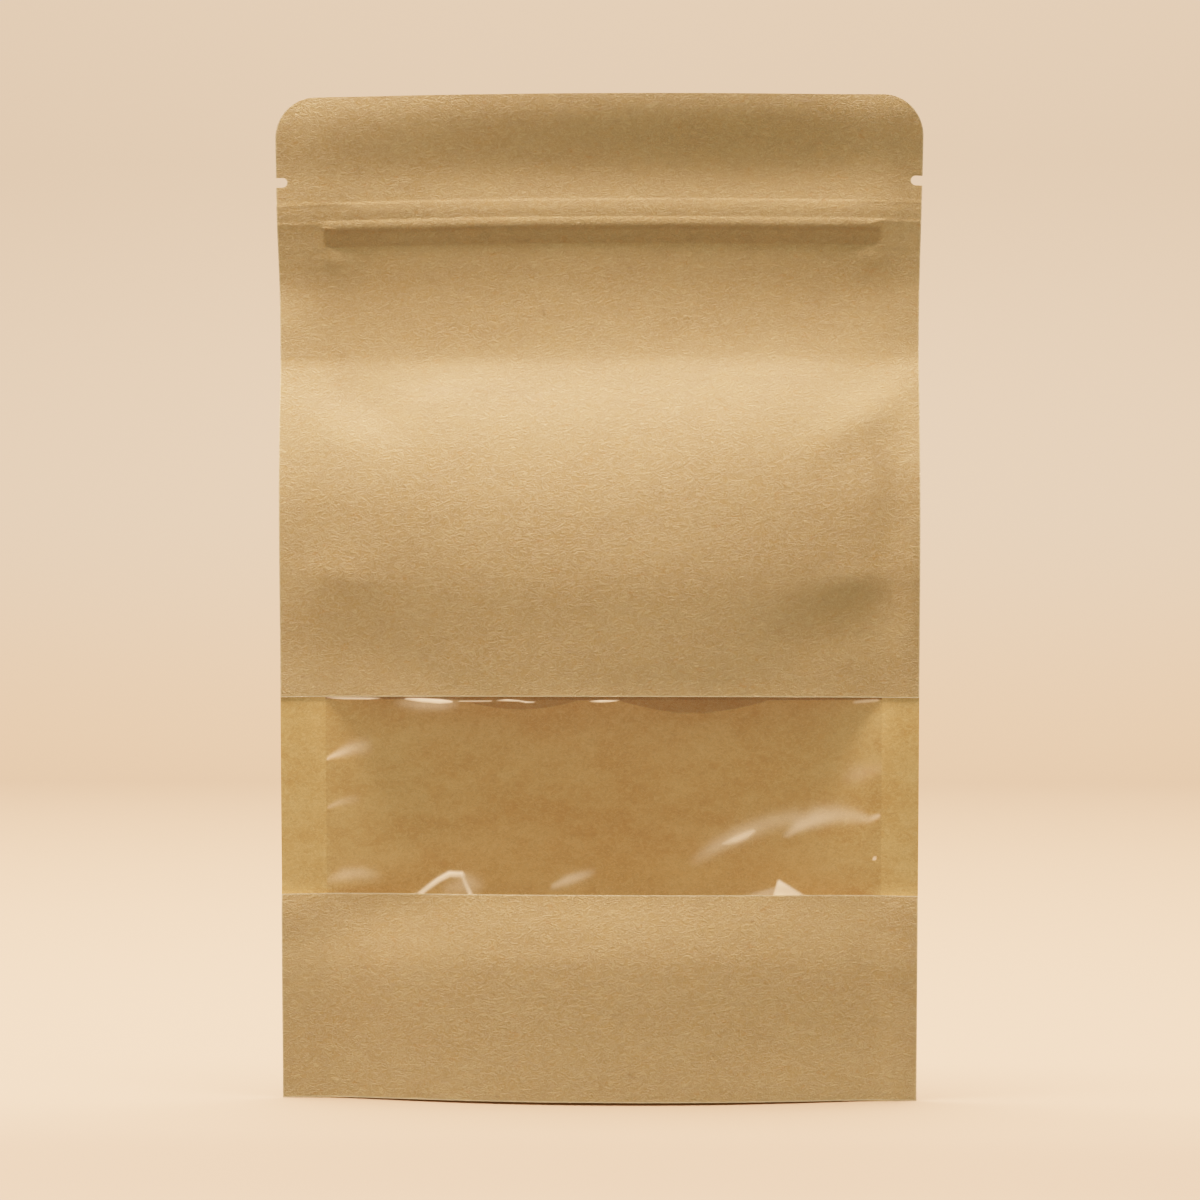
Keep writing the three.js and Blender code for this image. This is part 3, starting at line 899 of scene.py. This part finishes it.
def shadeShare(x, z):
    # Each shade hangs from the paper's edge in a flat arc, over the painted shadow along the edge
    look, edge = windowFilm, pouch["windowTop"]
    share = look["edgeShadow"] * ease(z, edge - look["edgeShadowFrom"], edge - look["edgeShadowFull"])
    for start, end, depth, amount in look["shades"].values():
        arc = depth * math.sin(math.pi * clamp((x - start) / (end - start))) ** look["shadeRoundness"]
        hanging = arc - (edge + look["behindEdge"] - z)
        share = max(share, amount * ease(hanging, -look["shadeSoft"], look["shadeSoft"]))
    return share


def cornerShare(x, z):
    # Inside the triangle the amounts of its three points are mixed, and its outline is a little soft
    corner = windowFilm["corner"]
    top, left, right = corner["points"]

    def turned(first, second, third):
        # Twice the area of a triangle, with a sign for its way round
        across = (second[0] - first[0]) * (third[1] - first[1])
        return across - (second[1] - first[1]) * (third[0] - first[0])
    whole = turned(top, left, right)
    leftPart = turned(top, (x, z), right) / whole
    rightPart = turned(top, left, (x, z)) / whole
    parts = (1 - leftPart - rightPart, leftPart, rightPart)
    sides = (math.dist(left, right), math.dist(right, top), math.dist(top, left))
    depth = min(part * (abs(whole) / side) for part, side in zip(parts, sides))
    fall = ease(depth, 0, corner["soft"])
    return fall, fall * sum(clamp(part) * amount for part, amount in zip(parts, corner["amounts"]))


def filmMarks(x, z):
    # Lift in millimetres, gleam (a painted highlight) and shade at a point of the film
    lift, clearLeft = 0.0, 1.0
    for form, (left, right, low, high) in gleamBoxes:
        if left < x < right and low < z < high:
            fall, amount = spineShare(x, z, form)
            lift = max(lift, form["lift"] * fall)
            clearLeft *= 1 - amount
    fall, amount = cornerShare(x, z)
    lift = max(lift, windowFilm["corner"]["lift"] * fall)
    clearLeft *= 1 - amount
    return lift, 1 - clearLeft, shadeShare(x, z)


def filmPlace(u, z):
    # The film lies flat where the lower paper covers it
    x = acrossAt(u, z)
    edge = pouch["windowBottom"]
    free = ease(z, edge + windowFilm["liftFrom"], edge + windowFilm["liftFull"])
    lift = 0.0 if sealed(u) else filmMarks(x, z)[0] * free
    return Vector((x, frontDepth(u, z) - pouch["film"] / 2 - lift, z))


def buildFilm():
    rows = [windowFilm["rows"][0][0]]
    for low, high, step in windowFilm["rows"]:
        rows += spread(low, high, step)[1:]
    made = sheetMesh(columnsAcross(windowFilm["columnStep"]), rows, filmPlace)
    gleam = made.verts.layers.float.new("gleam")
    shade = made.verts.layers.float.new("shade")
    for point in made.verts:
        x, z = point.co.x / mm, point.co.z / mm
        if pouch["leftSeal"] < shareAt(x, z) < pouch["rightSeal"]:
            _, point[gleam], shadow = filmMarks(x, z)
            # Inside the seals the film carries at least the painted shade of the air gap behind it
            point[shade] = max(windowFilm["airGapShade"], shadow)
    closeSheet(made, pouch["film"])
    return finishPiece("windowFilm", made, [clearFilm])


for piece, node, slotName in (
    (buildUpperPaper(), "upper_front_panel", "kraft_outside"),
    (buildLowerPaper(), "lower_front_panel", "kraft_outside"),
    (buildFilm(), "window_film", "clear_film"),
    (buildBackPaper(), "back_panel", "kraft_back"),
    (buildGusset(), "bottom_gusset", "kraft_back"),
):
    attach(piece, "root")
    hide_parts(node)
print("pouch made")

# The floor bends up into the wall behind the pouch; sizes and places in metres
studio = {
    "halfSpan": 4.0, "front": -3.0, "wallDistance": 1.75, "wallBend": 0.35, "bendSteps": 24,
    "wallHeight": 3.0,
    "floorColour": (0.425, 0.28, 0.195, 1), "floorShade": (0.405, 0.265, 0.18, 1),
    "nearColour": (0.33, 0.215, 0.148, 1), "wallColour": (0.38, 0.295, 0.225, 1),
    "tone": {"scale": (1.5, 1.5, 1.5)}, "nearFade": (0.0, -0.1), "wallFade": (0.0, 0.15), "roughness": 0.7,
    "keyColour": (1.0, 0.63, 0.463), "airColour": (0.92, 0.86, 0.62, 1), "ambient": 0.625,
}


def stageProfile():
    # From the front of the floor to the top of the wall, as (depth, height)
    bend, distance = studio["wallBend"], studio["wallDistance"]
    points = [(studio["front"], 0.0), (distance - bend, 0.0)]
    for k in range(1, studio["bendSteps"] + 1):
        turn = math.radians(90 * k / studio["bendSteps"])
        points.append((distance - bend + bend * math.sin(turn), bend * (1 - math.cos(turn))))
    return points + [(distance, studio["wallHeight"])]


def stageFinish():
    finish = Finish("studioPaper")
    ground = finish.tint(studio["floorColour"], studio["floorShade"], finish.noise(**studio["tone"]))
    # Painted shade: the floor turns darker in front of the pouch, towards the camera
    ground = finish.tint(ground, studio["nearColour"], finish.axis(1).between(*studio["nearFade"]))
    whole = finish.tint(ground, studio["wallColour"], finish.axis(2).between(*studio["wallFade"]))
    return finish.surface({"Base Color": whole, "Roughness": studio["roughness"]})


def buildStage():
    made = bmesh.new()
    points = stageProfile()
    verts = [made.verts.new((-studio["halfSpan"], y, z)) for y, z in points]
    edges = [made.edges.new(pair) for pair in zip(verts, verts[1:])]
    bmesh.ops.extrude_edge_only(made, edges=edges)
    made.verts.ensure_lookup_table()
    for point in made.verts[len(points):]:
        point.co.x = studio["halfSpan"]
    bmesh.ops.recalc_face_normals(made, faces=made.faces)
    piece = finishPiece("studioFloor", made, [stageFinish()])
    piece.visible_diffuse = False  # without its bounce, the soft fill alone sets the shaded side


# Place and aim in metres, size in metres, power in watts
lamps = {
    "overhead": {
        "place": (-0.12, -0.02, 1.15), "aim": (-0.12, -0.02, 0.0), "size": (1.0, 0.6), "power": 119.8},
    "backdrop": {"place": (0, 0.75, 1.3), "aim": (0, 1.75, 0.3), "size": (2.2, 0.5), "power": 99.7},
}


def addLamps():
    for name, lamp in lamps.items():
        light = bpy.data.lights.new(name, "AREA")
        light.shape = "RECTANGLE"
        light.size, light.size_y = lamp["size"]
        light.energy = lamp["power"]
        light.color = studio["keyColour"]
        holder = bpy.data.objects.new(name, light)
        holder.location = lamp["place"]
        way = Vector(lamp["aim"]) - Vector(lamp["place"])
        holder.rotation_euler = way.to_track_quat("-Z", "Y").to_euler()
        bpy.context.scene.collection.objects.link(holder)
    world = bpy.data.worlds.new("studioAir")
    world.use_nodes = True
    air = world.node_tree.nodes["Background"]
    air.inputs["Color"].default_value = studio["airColour"]
    air.inputs["Strength"].default_value = studio["ambient"]
    bpy.context.scene.world = world


buildStage()
addLamps()
bpy.context.scene.view_settings.view_transform = "Filmic"
bpy.context.scene.view_settings.look = "None"
print("stage and light in place")
